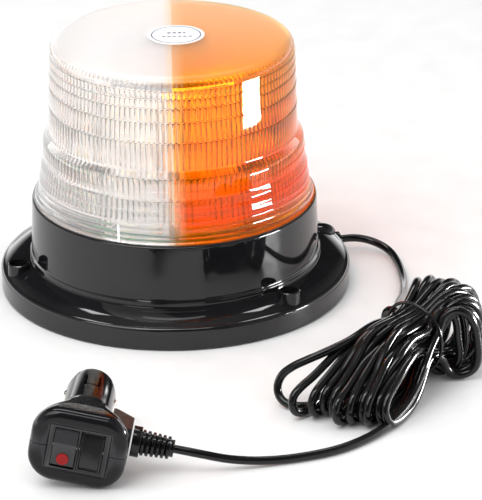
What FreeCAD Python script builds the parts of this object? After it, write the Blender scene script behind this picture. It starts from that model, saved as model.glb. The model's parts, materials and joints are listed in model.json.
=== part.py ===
import FreeCAD, Part
import math
import os
import re

import Sketcher

# Two-colour LED warning beacon on a screw-down magnetic base, with a cord and an accessory-socket
# plug that carries two rocker switches.
# The origin is the centre of the underside, +Z is up, -Y is the front. The clear half of the lens
# is on -X and the amber half on +X.

Vector = FreeCAD.Vector
Rotation = FreeCAD.Rotation
Placement = FreeCAD.Placement

DIMENSIONS = {
    # base housing
    "base_radius": 80.0,
    "rim_inner_radius": 77.4,
    "rim_bottom": 0.4,
    "rim_top": 9.2,
    "collar_radius": 66.5,
    "collar_bottom": 14.8,
    "collar_top": 17.4,
    "drum_radius": 65.8,
    "drum_top_radius": 64.9,
    "drum_top": 43.2,
    "drum_inner_radius": 61.8,
    "floor_bottom": 12.0,
    "floor_top": 14.4,
    # mounting holes
    "hole_circle": 73.4,
    "hole_angle": -46.5,
    "boss_radius": 4.8,
    "boss_top": 17.0,
    "counterbore_radius": 3.9,
    "counterbore_floor": 6.0,
    "mount_hole_radius": 2.3,
    # pad, plate and magnet under the housing
    "pad_radius": 76.9,
    "pad_thickness": 2.5,
    "plate_thickness": 1.2,
    "notch_radius": 5.2,
    "magnet_radius": 40.0,
    "magnet_bore": 12.0,
    "pot_radius": 44.0,
    "pot_wall": 1.6,
    "base_screw_circle": 58.0,
    # lens
    "lens_top": 118.2,
    "lens_top_radius": 55.1,
    "lens_waist_radius": 56.3,
    "lens_waist_height": 75.2,
    "lens_flange_radius": 64.2,
    "lens_bottom": 43.75,
    "lens_wall": 2.4,
    "lens_round": 4.8,
    "lens_collar_radius": 59.8,
    "lens_collar_bottom": 38.0,
    "bead": 0.45,
    "label_radius": 12.8,
    "label_thickness": 0.2,
    # light engine
    "board_radius": 52.0,
    "board_bottom": 20.0,
    "board_thickness": 1.6,
    "board_post_circle": 44.0,
    "tower_apothem": 27.0,
    "tower_wall": 2.4,
    "tower_bottom": 21.8,
    "tower_top": 106.0,
    "tower_screw_circle": 16.0,
    "led_board_width": 27.0,
    "led_board_height": 74.0,
    "led_board_bottom": 28.0,
    "led_size": 5.4,
    "led_pitch": 14.0,
    "led_column": 6.5,
    # cord
    "cord_diameter": 3.6,
    "cord_angle": 20.0,
    "cord_height": 6.7,
    "hank_angle": 46.0,
    "hank_x": 102.0,
    "hank_y": -110.0,
    "hank_z": 19.18,
    "hank_slope": 2.93,
    "waist_radius": 15.0,
    "tie_radius": 15.7,
    "tie_thickness": 1.6,
    # plug
    "head_width": 40.0,
    "head_height": 32.0,
    "head_corner": 11.0,
    "head_depth": 30.5,
    "head_wall": 2.2,
    "shoulder_radius": 10.9,
    "window_width": 25.0,
    "window_height": 19.6,
    "rocker_width": 9.4,
    "rocker_spacing": 5.4,
    "rocker_half_height": 7.9,
    "rocker_pivot_depth": 3.4,
    "rocker_ridge": 2.4,
    "rocker_foot": 1.6,
    "power_rocker_tilt": -6.0,
    "mode_rocker_tilt": -9.0,
    "rocker_pin_radius": 0.8,
    "barrel_radius": 10.3,
    "barrel_end": 54.5,
    "nose_radius": 9.4,
    "nose_end": 61.0,
    "contact_radius": 2.5,
    "side_contact_depth": 50.0,
    "latch_start": 41.8,
    "latch_end": 50.6,
    "latch_half_width": 3.3,
    "fuse_radius": 3.15,
    "relief_length": 17.5,
    "relief_depth": 19.0,
    "screw_spacing": 8.6,
    "screw_depth": 19.8,
    "screw_seat": -9.4,
}

# The plug lies in front of the base, turned a little and rolled onto its cable side.
PLUG_CENTRE = Vector(-40.9, -213.2, 17.9)
PLUG_YAW = -5.0
PLUG_ROLL = 11.0

# Route of the cord where it isn't coiled: centre line points, from the base to the hank and from
# the hank to the plug. The ends at the base and the plug are worked out from those pieces.
LEAD_ROUTE = [
    (89.4, 29.8, 5.8),
    (95.8, 26.6, 4.4),
    (100.2, 21.0, 3.2),
    (102.6, 13.2, 2.4),
    (104.1, 1.0, 2.1),
    (104.6, -17.0, 2.9),
    (103.0, -42.0, 8.0),
    (100.6, -65.0, 15.6),
    (100.0, -83.8, 19.8),
]
TAIL_ROUTE = [
    (108.4, -124.4, 20.6),
    (105.2, -134.6, 17.4),
    (101.6, -140.6, 10.4),
    (95.4, -152.2, 4.2),
    (84.2, -168.0, 2.1),
    (67.8, -183.0, 2.0),
    (52.0, -189.6, 2.0),
    (36.0, -193.4, 2.2),
    (21.0, -196.6, 4.6),
]

BEAD_HEIGHTS = (88.0, 97.5, 104.0, 108.3, 112.2)
LEDS_PER_COLUMN = 5
AMBER_FACES = (-60, 0, 60)
WHITE_FACES = (120, 180, 240)
QUARTERS = (45, 135, 225, 315)
THIRDS = (30, 150, 270)

doc = FreeCAD.newDocument("led_beacon")
sheet = doc.addObject("Spreadsheet::Sheet", "Dims")
for row, (alias, number) in enumerate(DIMENSIONS.items(), start=1):
    sheet.set("A%d" % row, alias)
    sheet.set("B%d" % row, str(number))
    sheet.setAlias("B%d" % row, alias)
doc.recompute()

pieces = []


def bound(text):
    """Turn names of dimensions into references to the sheet."""
    return re.sub(r"[a-z_]+", lambda m: "Dims." + m[0] if m[0] in DIMENSIONS else m[0], str(text))


def size(text):
    """The number that an expression of dimensions gives now."""
    return float(sheet.evalExpression(bound(text)))


def place(item, x="0", y="0", z="0", turn=None):
    """Bind where an object stands to expressions, after turning it."""
    if turn is not None:
        item.Placement = Placement(Vector(), turn)
    for axis, text in (("x", x), ("y", y), ("z", z)):
        item.setExpression("Placement.Base." + axis, bound(text))
    return item


def keep(item, label, frame=None):
    """Name a finished sub-part, move it into a frame and put it on the list that is written out."""
    item.Label = label
    if frame is not None:
        item.recompute()
        here = item.Placement
        for axis in "xyz":
            item.setExpression("Placement.Base." + axis, None)
        item.Placement = frame * here
    pieces.append(item)
    return item


def cylinder(radius, height, x="0", y="0", z="0", turn=None):
    item = doc.addObject("Part::Cylinder", "Cylinder")
    item.setExpression("Radius", bound(radius))
    item.setExpression("Height", bound(height))
    return place(item, x, y, z, turn)


def box(length, width, height, x="0", y="0", z="0", turn=None):
    """A box from its lowest corner."""
    item = doc.addObject("Part::Box", "Box")
    item.setExpression("Length", bound(length))
    item.setExpression("Width", bound(width))
    item.setExpression("Height", bound(height))
    return place(item, x, y, z, turn)


def facing_box(depth, across, height, angle, radial, z, offset="0"):
    """A box that faces outward at an angle, its inner face at a distance from the axis."""
    side = "(%s - (%s) / 2)" % (offset, across)
    x = "(%s) * cos(%s) - %s * sin(%s)" % (radial, angle, side, angle)
    y = "(%s) * sin(%s) + %s * cos(%s)" % (radial, angle, side, angle)
    return box(depth, across, height, x, y, z, Rotation(Vector(0, 0, 1), size(angle)))


def polar_cylinder(radius, height, circle, angle, z):
    """An upright cylinder on a circle about the axis."""
    return cylinder(radius, height, "%s * cos(%s)" % (circle, angle), "%s * sin(%s)" % (circle, angle), z)


def ellipsoid(along, across, up, x="0", y="0", z="0", turn=None):
    item = doc.addObject("Part::Ellipsoid", "Ellipsoid")
    item.setExpression("Radius2", bound(along))
    item.setExpression("Radius3", bound(across))
    item.setExpression("Radius1", bound(up))
    return place(item, x, y, z, turn)


def cut(base, *tools):
    item = doc.addObject("Part::Cut", "Cut")
    item.Base = base
    item.Tool = tools[0] if len(tools) == 1 else fuse(*tools)
    item.Refine = True
    return item


def fuse(*shapes):
    item = doc.addObject("Part::MultiFuse", "Fuse")
    item.Shapes = list(shapes)
    item.Refine = True
    return item


def common(*shapes):
    item = doc.addObject("Part::MultiCommon", "Common")
    item.Shapes = list(shapes)
    return item


def group(*shapes):
    """Separate solids of one kind, kept as one node."""
    item = doc.addObject("Part::Compound", "Group")
    item.Links = list(shapes)
    return item


def plane_of(body, role):
    for feature in body.Origin.OriginFeatures:
        if feature.Role == role:
            return feature
    raise ValueError(role)


def arc_centre(start, end, radius):
    """Centre of an arc; a positive radius turns left on the way to its end."""
    chord = end - start
    rise = math.sqrt(max(radius * radius - chord.Length ** 2 / 4, 0.0))
    left = Vector(-chord.y, chord.x, 0).normalize()
    return (start + end) * 0.5 + left * math.copysign(rise, radius)


def outline_sketch(body, role, outline):
    """A closed outline of (across, up) points; a third value is the radius of the arc to a point."""
    sketch = body.newObject("Sketcher::SketchObject", "Outline")
    sketch.AttachmentSupport = [(plane_of(body, role), "")]
    sketch.MapMode = "FlatFace"
    corners = [Vector(size(point[0]), size(point[1]), 0) for point in outline]
    ends = []
    for index, point in enumerate(outline):
        start = corners[index - 1]
        end = corners[index]
        if len(point) == 2:
            sketch.addGeometry(Part.LineSegment(start, end), False)
            ends.append((1, 2))
            continue
        radius = size(point[2])
        centre = arc_centre(start, end, radius)
        first, last = (start, end) if radius > 0 else (end, start)
        circle = Part.Circle(centre, Vector(0, 0, 1), abs(radius))
        angles = [math.atan2(spot.y - centre.y, spot.x - centre.x) for spot in (first, last)]
        sketch.addGeometry(Part.ArcOfCircle(circle, angles[0], angles[1]), False)
        ends.append((1, 2) if radius > 0 else (2, 1))
    for index, point in enumerate(outline):
        following = (index + 1) % len(outline)
        sketch.addConstraint(Sketcher.Constraint("Coincident", index, ends[index][1],
                                                 following, ends[following][0]))
        for kind, axis, value, text in (("DistanceX", -2, corners[index].x, point[0]),
                                        ("DistanceY", -1, corners[index].y, point[1])):
            if abs(value) < 1e-9:
                sketch.addConstraint(Sketcher.Constraint("PointOnObject", index, ends[index][1], axis))
                continue
            number = sketch.addConstraint(Sketcher.Constraint(kind, -1, 1, index, ends[index][1], value))
            sketch.setExpression("Constraints[%d]" % number, bound(text))
        if len(point) == 3:
            number = sketch.addConstraint(Sketcher.Constraint("Radius", index, abs(size(point[2]))))
            sketch.setExpression("Constraints[%d]" % number, "abs(%s)" % bound(point[2]))
    return sketch


def turned(outline, role="XZ_Plane", angle=360, reverse=False):
    """A body turned about the upright axis of its sketch."""
    body = doc.addObject("PartDesign::Body", "Turned")
    sketch = outline_sketch(body, role, outline)
    turn = body.newObject("PartDesign::Revolution", "Revolution")
    turn.Profile = sketch
    turn.ReferenceAxis = (sketch, ["V_Axis"])
    turn.Angle = angle
    turn.Reversed = reverse
    return body


def padded(outline, length, role="XY_Plane", reverse=False):
    """A body padded from an outline."""
    body = doc.addObject("PartDesign::Body", "Padded")
    sketch = outline_sketch(body, role, outline)
    pad = body.newObject("PartDesign::Pad", "Pad")
    pad.Profile = sketch
    pad.setExpression("Length", bound(length))
    pad.Reversed = reverse
    return body


def rounded_rectangle(width, height, corner):
    """A rectangle with round corners, about its own centre."""
    side, top = "(%s) / 2" % width, "(%s) / 2" % height
    inner_side, inner_top = "(%s - (%s))" % (side, corner), "(%s - (%s))" % (top, corner)
    return [(side, "-" + inner_top), (side, inner_top), (inner_side, top, corner), ("-" + inner_side, top),
            ("-" + side, inner_top, corner), ("-" + side, "-" + inner_top),
            ("-" + inner_side, "-" + top, corner), (inner_side, "-" + top)]


def rounded_block(width, height, corner, length):
    """A block with round long edges; its section is across X and Z, its length along Y."""
    outline = rounded_rectangle(width, height, corner)
    first = outline.pop(0)
    outline.append((first[0], first[1], corner))
    return padded(outline, length, "XZ_Plane", True)


def polygon_tube(sides, apothem, height, z):
    item = doc.addObject("Part::Prism", "Prism")
    item.Polygon = sides
    item.setExpression("Circumradius", "(%s) / cos(%g)" % (bound(apothem), 180.0 / sides))
    item.setExpression("Height", bound(height))
    return place(item, z=z, turn=Rotation(Vector(0, 0, 1), 180.0 / sides))


def screw(head_radius, head_height, shank_radius, shank_length, x, y, z, upside=1):
    """A pan-head screw: z is the seat of its head, upside -1 puts the head below the seat."""
    if upside > 0:
        head = cylinder(head_radius, head_height, x, y, z)
        shank = cylinder(shank_radius, shank_length, x, y, "%s - (%s)" % (z, shank_length))
        return fuse(head, shank)
    head = cylinder(head_radius, head_height, x, y, "%s - (%s)" % (z, head_height))
    return fuse(head, cylinder(shank_radius, shank_length, x, y, z))


def on_circle(circle, angle):
    return "%s * cos(%s)" % (circle, angle), "%s * sin(%s)" % (circle, angle)


# ---------------------------------------------------------------- housing

def make_housing():
    """The black base: a flange with a sloping top, three screw bosses and the drum under the lens."""
    body = turned([
        ("0", "floor_bottom"),
        ("collar_radius - 3.5", "floor_bottom"),
        ("75.5", "8.4"),
        ("rim_inner_radius", "7"),
        ("rim_inner_radius", "rim_bottom"),
        ("base_radius - 0.8", "rim_bottom"),
        ("base_radius", "rim_bottom + 0.8"),
        ("base_radius", "rim_top"),
        ("base_radius - 1.5", "rim_top + 1.7", "1.8"),
        ("collar_radius + 0.9", "collar_bottom", "26"),
        ("collar_radius", "collar_bottom"),
        ("collar_radius", "collar_top"),
        ("drum_radius", "collar_top + 0.8"),
        ("drum_top_radius", "drum_top - 0.8"),
        ("drum_top_radius - 0.8", "drum_top", "0.9"),
        ("63.9", "drum_top"),
        ("63.9", "drum_top - 0.7"),
        ("62.5", "drum_top - 0.7"),
        ("62.5", "drum_top"),
        ("drum_inner_radius", "drum_top"),
        ("drum_inner_radius", "floor_top"),
        ("0", "floor_top"),
    ])
    solids = [body]
    holes = []
    for step in range(3):
        angle = "(hole_angle + %d)" % (120 * step)
        solids.append(polar_cylinder("boss_radius", "boss_top - rim_bottom", "hole_circle", angle, "rim_bottom"))
        holes.append(polar_cylinder("mount_hole_radius", "30", "hole_circle", angle, "-1"))
        holes.append(polar_cylinder("counterbore_radius", "20", "hole_circle", angle, "counterbore_floor"))
    # blister over the cable exit
    x, y = on_circle("71.2", "cord_angle")
    blister = ellipsoid("8.2", "5.6", "4.6", x, y, "11.6", Rotation(Vector(0, 0, 1), size("cord_angle")))
    solids.append(common(blister, box("40", "60", "20", "50", "0", "10.2")))
    for angle in QUARTERS:
        solids.append(polar_cylinder("4", "floor_bottom - 3.7", "base_screw_circle", angle, "3.8"))
        holes.append(polar_cylinder("1.5", "8", "base_screw_circle", angle, "3"))
        solids.append(polar_cylinder("3", "board_bottom - floor_top + 0.1", "board_post_circle", angle,
                                     "floor_top - 0.1"))
        holes.append(polar_cylinder("1.25", "5", "board_post_circle", angle, "board_bottom - 4.8"))
        # ledges that hold the lugs of the lens
        solids.append(facing_box("2", "12", "1.5", angle, "60.2", "39.7"))
    for angle in THIRDS:
        solids.append(polar_cylinder("3", "board_bottom - floor_top + 0.1", "tower_screw_circle", angle,
                                     "floor_top - 0.1"))
        holes.append(polar_cylinder("1.25", "5", "tower_screw_circle", angle, "board_bottom - 4.8"))
    # cable hole through the rim and through the floor
    turn = Rotation(Vector(0, 0, 1), size("cord_angle")) * Rotation(Vector(0, 1, 0), 90)
    x, y = on_circle("72", "cord_angle")
    holes.append(cylinder("2.4", "10", x, y, "cord_height", turn))
    x, y = on_circle("56.8", "cord_angle")
    holes.append(cylinder("3.6", "6", x, y, "10"))
    return keep(cut(fuse(*solids), *holes), "housing")


def base_disc(thickness, z, screw_radius):
    """A disc inside the rim with clearance for the screw bosses and holes for the base screws."""
    disc = cylinder("pad_radius", thickness, z=z)
    openings = []
    for step in range(3):
        angle = "(hole_angle + %d)" % (120 * step)
        openings.append(polar_cylinder("notch_radius", "9", "hole_circle", angle, "-2"))
    for angle in QUARTERS:
        openings.append(polar_cylinder(screw_radius, "9", "base_screw_circle", angle, "-2"))
    return cut(disc, *openings)


def make_underside():
    """Rubber pad, steel plate, ring magnet in its pot, and the screws that hold the plate."""
    keep(base_disc("pad_thickness", "0", "3.6"), "rubber_pad")
    keep(base_disc("plate_thickness", "pad_thickness + 0.02", "1.7"), "base_plate")
    pot_bottom = "(pad_thickness + plate_thickness + 0.1)"
    pot = cylinder("pot_radius", "floor_bottom - %s - 0.1" % pot_bottom, z=pot_bottom)
    hollow = cylinder("pot_radius - pot_wall", "floor_bottom - %s - 0.1 - pot_wall" % pot_bottom,
                      z=pot_bottom + " - 0.01")
    keep(cut(pot, hollow), "magnet_pot")
    magnet = cylinder("magnet_radius", "6", z=pot_bottom + " + 0.1")
    keep(cut(magnet, cylinder("magnet_bore", "9", z="2")), "ring_magnet")
    screws = []
    for angle in QUARTERS:
        x, y = on_circle("base_screw_circle", angle)
        screws.append(screw("3", "1.6", "1.5", "8", x, y, "pad_thickness", -1))
    keep(group(*screws), "base_screws")


# ---------------------------------------------------------------- lens

def lens_outline():
    """Section of the lens wall, from its collar up the outside and down the inside."""
    outer = [
        ("lens_collar_radius - 2.2", "lens_collar_bottom"),
        ("lens_collar_radius", "lens_collar_bottom"),
        ("lens_collar_radius", "lens_bottom"),
        ("lens_flange_radius", "lens_bottom"),
        ("lens_flange_radius", "lens_bottom + 2.4"),
        ("60.8", "55.8", "-16"),
        ("60.2", "60.8"),
        ("59.3", "63.2"),
        ("59.2", "70.6"),
        ("58.6", "72.6"),
        ("lens_waist_radius", "lens_waist_height"),
    ]
    for height in BEAD_HEIGHTS:
        share = "(%g - lens_waist_height) / (lens_top - lens_round - lens_waist_height)" % height
        radius = "(lens_waist_radius + (lens_top_radius - lens_waist_radius) * %s)" % share
        outer += [(radius, "%g" % (height - 0.6)),
                  (radius + " + bead", "%g" % height),
                  (radius, "%g" % (height + 0.6))]
    inner = [
        ("lens_top_radius", "lens_top - lens_round"),
        ("lens_top_radius - lens_round", "lens_top", "lens_round"),
        ("0", "lens_top"),
        ("0", "lens_top - lens_wall"),
        ("lens_top_radius - lens_round", "lens_top - lens_wall"),
        ("lens_top_radius - lens_wall", "lens_top - lens_round", "-(lens_round - lens_wall)"),
        ("lens_waist_radius - lens_wall", "lens_waist_height"),
        ("56.6", "71"),
        ("57.1", "63"),
        ("lens_collar_radius - 2.2", "54"),
    ]
    return outer + inner


def make_lens():
    """Two half shells, welded along the front-to-back seam, with bayonet lugs, and a round label."""
    for label, reverse, angles in (("lens_amber", True, (45, 315)), ("lens_clear", False, (135, 225))):
        half = turned(lens_outline(), "YZ_Plane", 180, reverse)
        lugs = [facing_box("1.9", "10", "1.4", angle, "59", "lens_collar_bottom") for angle in angles]
        keep(fuse(half, *lugs), label)
    keep(cylinder("label_radius", "label_thickness", "2", "2.8", "lens_top"), "lens_label")
    seal = cylinder("63.8", "0.9", z="drum_top - 0.68")
    keep(cut(seal, cylinder("62.6", "3", z="drum_top - 2")), "lens_gasket")


# ---------------------------------------------------------------- light engine

def make_driver():
    """Round driver board on four posts, with its parts and screws."""
    disc = cylinder("board_radius", "board_thickness", z="board_bottom")
    openings = [polar_cylinder("1.6", "9", "board_post_circle", angle, "board_bottom - 3") for angle in QUARTERS]
    openings += [polar_cylinder("1.6", "9", "tower_screw_circle", angle, "board_bottom - 3") for angle in THIRDS]
    keep(cut(disc, *openings), "driver_board")
    top = "board_bottom + board_thickness"
    screws = []
    for angle in QUARTERS:
        x, y = on_circle("board_post_circle", angle)
        screws.append(screw("2.8", "1.8", "1.25", "6", x, y, top))
    keep(group(*screws), "board_screws")
    cans = [polar_cylinder("4", "11", "43", angle, top) for angle in (84, 98)]
    keep(group(*cans), "capacitors")
    keep(polar_cylinder("5", "5.5", "43", 180, top), "inductor")
    keep(facing_box("7", "10", "1.5", 262, "38", top), "controller_chip")
    switches = [facing_box("6.5", "6", "2.3", angle, "39", top) for angle in (-12, 64, 116, 158, 202, 292)]
    keep(group(*switches), "driver_transistors")
    keep(facing_box("7", "9", "8", "cord_angle", "43.5", top), "cable_connector")


def make_tower():
    """Six-sided post that carries the light boards, its cap and its screws."""
    outer = polygon_tube(6, "tower_apothem", "tower_top - tower_bottom", "tower_bottom")
    hollow = polygon_tube(6, "tower_apothem - tower_wall", "tower_top - tower_bottom", "tower_bottom + 3")
    openings = [polar_cylinder("1.6", "9", "tower_screw_circle", angle, "tower_bottom - 3") for angle in THIRDS]
    keep(cut(outer, hollow, *openings), "led_tower")
    plate = polygon_tube(6, "tower_apothem", "2", "tower_top + 0.05")
    plug = polygon_tube(6, "tower_apothem - tower_wall - 0.1", "2.1", "tower_top - 2")
    keep(fuse(plate, plug), "tower_cap")
    screws = []
    for angle in THIRDS:
        x, y = on_circle("tower_screw_circle", angle)
        screws.append(screw("2.8", "1.8", "1.25", "9.2", x, y, "tower_bottom + 3"))
    keep(group(*screws), "tower_screws")


def make_light_boards():
    """Three boards of white lamps on the clear side and three of amber lamps on the amber side."""
    for colour, faces in (("white", WHITE_FACES), ("amber", AMBER_FACES)):
        boards = []
        lamps = []
        for angle in faces:
            boards.append(facing_box("1.6", "led_board_width", "led_board_height", angle,
                                     "tower_apothem + 0.05", "led_board_bottom"))
            for step in range(LEDS_PER_COLUMN):
                for side in ("-led_column", "led_column"):
                    lamps.append(facing_box("1.6", "led_size", "led_size", angle, "tower_apothem + 1.66",
                                            "led_board_bottom + 6.3 + %d * led_pitch" % step, side))
        keep(group(*boards), "led_boards_" + colour)
        keep(group(*lamps), "leds_" + colour)


# ---------------------------------------------------------------- cord

def arc_path(points, label):
    """Straight runs joined by tangent arcs that are as large as the runs allow."""
    points = [Vector(*point) for point in points]
    edges = []
    radii = []
    start = points[0]
    for before, corner, after in zip(points, points[1:], points[2:]):
        inward = (before - corner).normalize()
        outward = (after - corner).normalize()
        turn = math.pi - inward.getAngle(outward)
        reach = 0.45 * min((before - corner).Length, (after - corner).Length)
        radius = reach / math.tan(turn / 2)
        first = corner + inward * reach
        last = corner + outward * reach
        bisector = (inward + outward).normalize()
        middle = corner + bisector * (radius / math.cos(turn / 2) - radius)
        edges.append(Part.LineSegment(start, first).toShape())
        edges.append(Part.Arc(first, middle, last).toShape())
        radii.append(radius)
        start = last
    edges.append(Part.LineSegment(start, points[-1]).toShape())
    print(label, "radii", [round(radius, 1) for radius in radii])
    return Part.Wire(edges)


def cord_tube(points, label, frame=None):
    """A round cord along a route, compared with its section times its length."""
    path = arc_path(points, label)
    radius = size("cord_diameter") / 2
    heading = path.Edges[0].tangentAt(path.Edges[0].FirstParameter)
    ring = Part.Wire([Part.Circle(path.Edges[0].valueAt(path.Edges[0].FirstParameter), heading,
                                  radius).toShape()])
    shape = path.makePipeShell([ring], True, True)
    expected = math.pi * radius ** 2 * path.Length
    print(label, "length", round(path.Length, 1), "volume ratio", round(shape.Volume / expected, 4),
          "lowest", round(shape.BoundBox.ZMin, 2))
    item = doc.addObject("Part::Feature", "Cord")
    item.Shape = shape
    return keep(item, label, frame)


def radial(distance, z):
    angle = math.radians(size("cord_angle"))
    return (distance * math.cos(angle), distance * math.sin(angle), z)


def hank_frame():
    """The tie stands at the origin, and Z runs along the hank, up a little towards its thick end."""
    turn = Rotation(Vector(0, 0, 1), size("hank_angle")) * Rotation(Vector(0, 1, 0), 90 - size("hank_slope"))
    return Placement(Vector(size("hank_x"), size("hank_y"), size("hank_z")), turn)


def hank_outline():
    """Half section of the tied hank: a long thin end, the waist in the tie and a short thick end."""
    return [
        ("0", "-76"), ("15.8", "-60.2", "15.8"), ("15.8", "-34"), ("waist_radius", "-8"),
        ("waist_radius", "12.27"), ("20.2", "25.8", "20.2"), ("0", "46", "20.2"),
    ]


def make_cord():
    """Grommet in the rim, the lead inside, and the free cord with its tied hank."""
    turn = Rotation(Vector(0, 0, 1), size("cord_angle")) * Rotation(Vector(0, 1, 0), 90)
    x, y = on_circle("74", "cord_angle")
    neck = cylinder("2.35", "7", x, y, "cord_height", turn)
    x, y = on_circle("80.15", "cord_angle")
    keep(fuse(neck, cylinder("3.8", "1.4", x, y, "cord_height", turn)), "cable_grommet")
    height = size("cord_height")
    cord_tube([radial(73.9, height), radial(56, height), radial(56, height + 19), radial(50.6, height + 19)],
              "inner_cable")
    cord_tube([radial(81.55, height), radial(87.4, height)] + LEAD_ROUTE, "cord_lead")
    end = plug_frame().multVec(Vector(size("head_width / 2 + relief_length + 0.6"), size("relief_depth"), 0))
    before = plug_frame().multVec(Vector(size("head_width / 2 + relief_length") + 11, size("relief_depth"), 0))
    cord_tube(TAIL_ROUTE + [tuple(before), tuple(end)], "cord_tail")

    keep(turned(hank_outline()), "cord_hank", hank_frame())
    tie = doc.addObject("Part::Torus", "Torus")
    tie.setExpression("Radius1", bound("tie_radius"))
    tie.setExpression("Radius2", bound("tie_thickness / 2"))
    keep(tie, "cord_tie", hank_frame())


# ---------------------------------------------------------------- plug
# The plug is drawn in its own frame: X across its face, Y from the face towards the tip, Z up.

def plug_frame():
    turn = Rotation(Vector(0, 0, 1), PLUG_YAW) * Rotation(Vector(0, 1, 0), PLUG_ROLL)
    return Placement(PLUG_CENTRE, turn)


def shoulder(inset):
    """A cone about Y that brings the head down to the barrel."""
    return turned([
        ("0", "-2"),
        ("23.4 - %s" % inset, "-2"),
        ("shoulder_radius - %s" % inset, "head_depth"),
        ("0", "head_depth"),
    ], "XY_Plane")


def along_y(radius, start, end, x="0", z="0"):
    """A cylinder whose axis runs along Y."""
    return cylinder(radius, "(%s) - (%s)" % (end, start), x, start, z, Rotation(Vector(1, 0, 0), -90))


def along_x(radius, start, end, y, z="0"):
    """A cylinder whose axis runs along X."""
    return cylinder(radius, "(%s) - (%s)" % (end, start), start, y, z, Rotation(Vector(0, 1, 0), 90))


def make_shells():
    """The two halves of the plug's head, with the switch window, barrel seat and cable opening."""
    outer = common(rounded_block("head_width", "head_height", "head_corner", "head_depth"), shoulder("0"))
    inner_block = rounded_block("head_width - 2 * head_wall", "head_height - 2 * head_wall",
                                "head_corner - head_wall", "head_depth - 2 * head_wall")
    inner = common(place(inner_block, y="head_wall"), shoulder("head_wall"))
    window = box("window_width", "6", "window_height", "-window_width / 2", "-2", "-window_height / 2")
    barrel_seat = along_y("barrel_radius - 1.2", "28", "head_depth + 4")
    cable_opening = along_x("4", "10", "30", "relief_depth")
    side = "head_width / 2"
    wedge = padded([("11", "relief_depth - 6"), (side, "relief_depth - 6"), (side, "relief_depth + 4.6"),
                    ("12.4", "head_depth - 1.4"), ("11", "head_depth - 1.4")], "16")
    cable_boss = place(wedge, z="-8")
    hollowed = cut(fuse(outer, cable_boss), inner, window, barrel_seat, cable_opening)
    posts = []
    drillings = []
    screws = []
    for x in ("-screw_spacing", "screw_spacing"):
        posts.append(common(cylinder("2.3", "30", x, "screw_depth", "-15"), outer))
        drillings.append(cylinder("2", "10", x, "screw_depth", "screw_seat - 10"))
        drillings.append(cylinder("1.1", "-screw_seat + 0.1", x, "screw_depth", "screw_seat - 0.1"))
        drillings.append(cylinder("0.8", "7", x, "screw_depth"))
        screws.append(screw("1.9", "1.4", "0.8", "-screw_seat + 6", x, "screw_depth", "screw_seat", -1))
    whole = cut(fuse(hollowed, *posts), *drillings)
    for label, low in (("plug_shell_lower", "-40"), ("plug_shell_upper", "0.02")):
        keep(common(whole, box("90", "60", "39.98", "-45", "-10", low)), label, plug_frame())
    keep(group(*screws), "plug_screws", plug_frame())


def rocker_outline():
    """Side view of a rocker, along the axis and up: a long lower face, a ridge and a short upper face."""
    top = "rocker_half_height"
    return [
        ("0.6", top), ("-rocker_ridge", "2.6"), ("-rocker_foot", "-" + top),
        ("3.2", "-" + top), ("5", "-3"), ("5", "3"), ("3.2", top),
    ]


def indicator(gap):
    """The round indicator, square to the lower face of the power rocker."""
    lens = fuse(along_y("2.5 - %s" % gap, "-0.4", "1.6 - %s" % gap), along_y("1.2 - %s" % gap, "1", "3"))
    slope = math.degrees(math.atan2(size("rocker_ridge - rocker_foot"), size("rocker_half_height + 2.6")))
    lens.Placement = Placement(Vector(-size("rocker_spacing"), -1.9, -4.0), Rotation(Vector(1, 0, 0), slope))
    return lens


def make_switches():
    """Switch housing with two pockets, the two rockers on their pins and the red indicator."""
    block = box("window_width - 0.2", "11.2", "window_height - 0.2", "-(window_width - 0.2) / 2", "0.6",
                "-(window_height - 0.2) / 2")
    pockets = []
    pins = []
    for side in ("-rocker_spacing", "rocker_spacing"):
        pockets.append(box("rocker_width + 0.6", "8.4", "17.6", "%s - (rocker_width + 0.6) / 2" % side,
                           "-1", "-8.8"))
        pin_start = "%s - rocker_width / 2 - 0.6" % side
        pin_end = "%s + rocker_width / 2 + 0.6" % side
        pockets.append(along_x("rocker_pin_radius", pin_start, pin_end, "rocker_pivot_depth"))
        pins.append(along_x("rocker_pin_radius", pin_start, pin_end, "rocker_pivot_depth"))
    keep(cut(block, *pockets), "switch_housing", plug_frame())
    keep(group(*pins), "rocker_pins", plug_frame())

    pivot = Vector(0, size("rocker_pivot_depth"), 0)
    for label, side in (("power_rocker", "-rocker_spacing"), ("mode_rocker", "rocker_spacing")):
        swing = Placement(Vector(), Rotation(Vector(1, 0, 0), size(label + "_tilt")), pivot)
        wedge = place(padded(rocker_outline(), "rocker_width", "YZ_Plane"), "%s - rocker_width / 2" % side)
        start, end = "%s - rocker_width" % side, "%s + rocker_width" % side
        trimmed = common(wedge, along_x("8.4", start, end, "rocker_pivot_depth"))
        openings = [along_x("rocker_pin_radius + 0.05", start, end, "rocker_pivot_depth")]
        if label == "power_rocker":
            openings.append(indicator("0"))
            keep(indicator("0.02"), "indicator_lens", plug_frame() * swing)
        keep(cut(trimmed, *openings), label, plug_frame() * swing)


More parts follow.
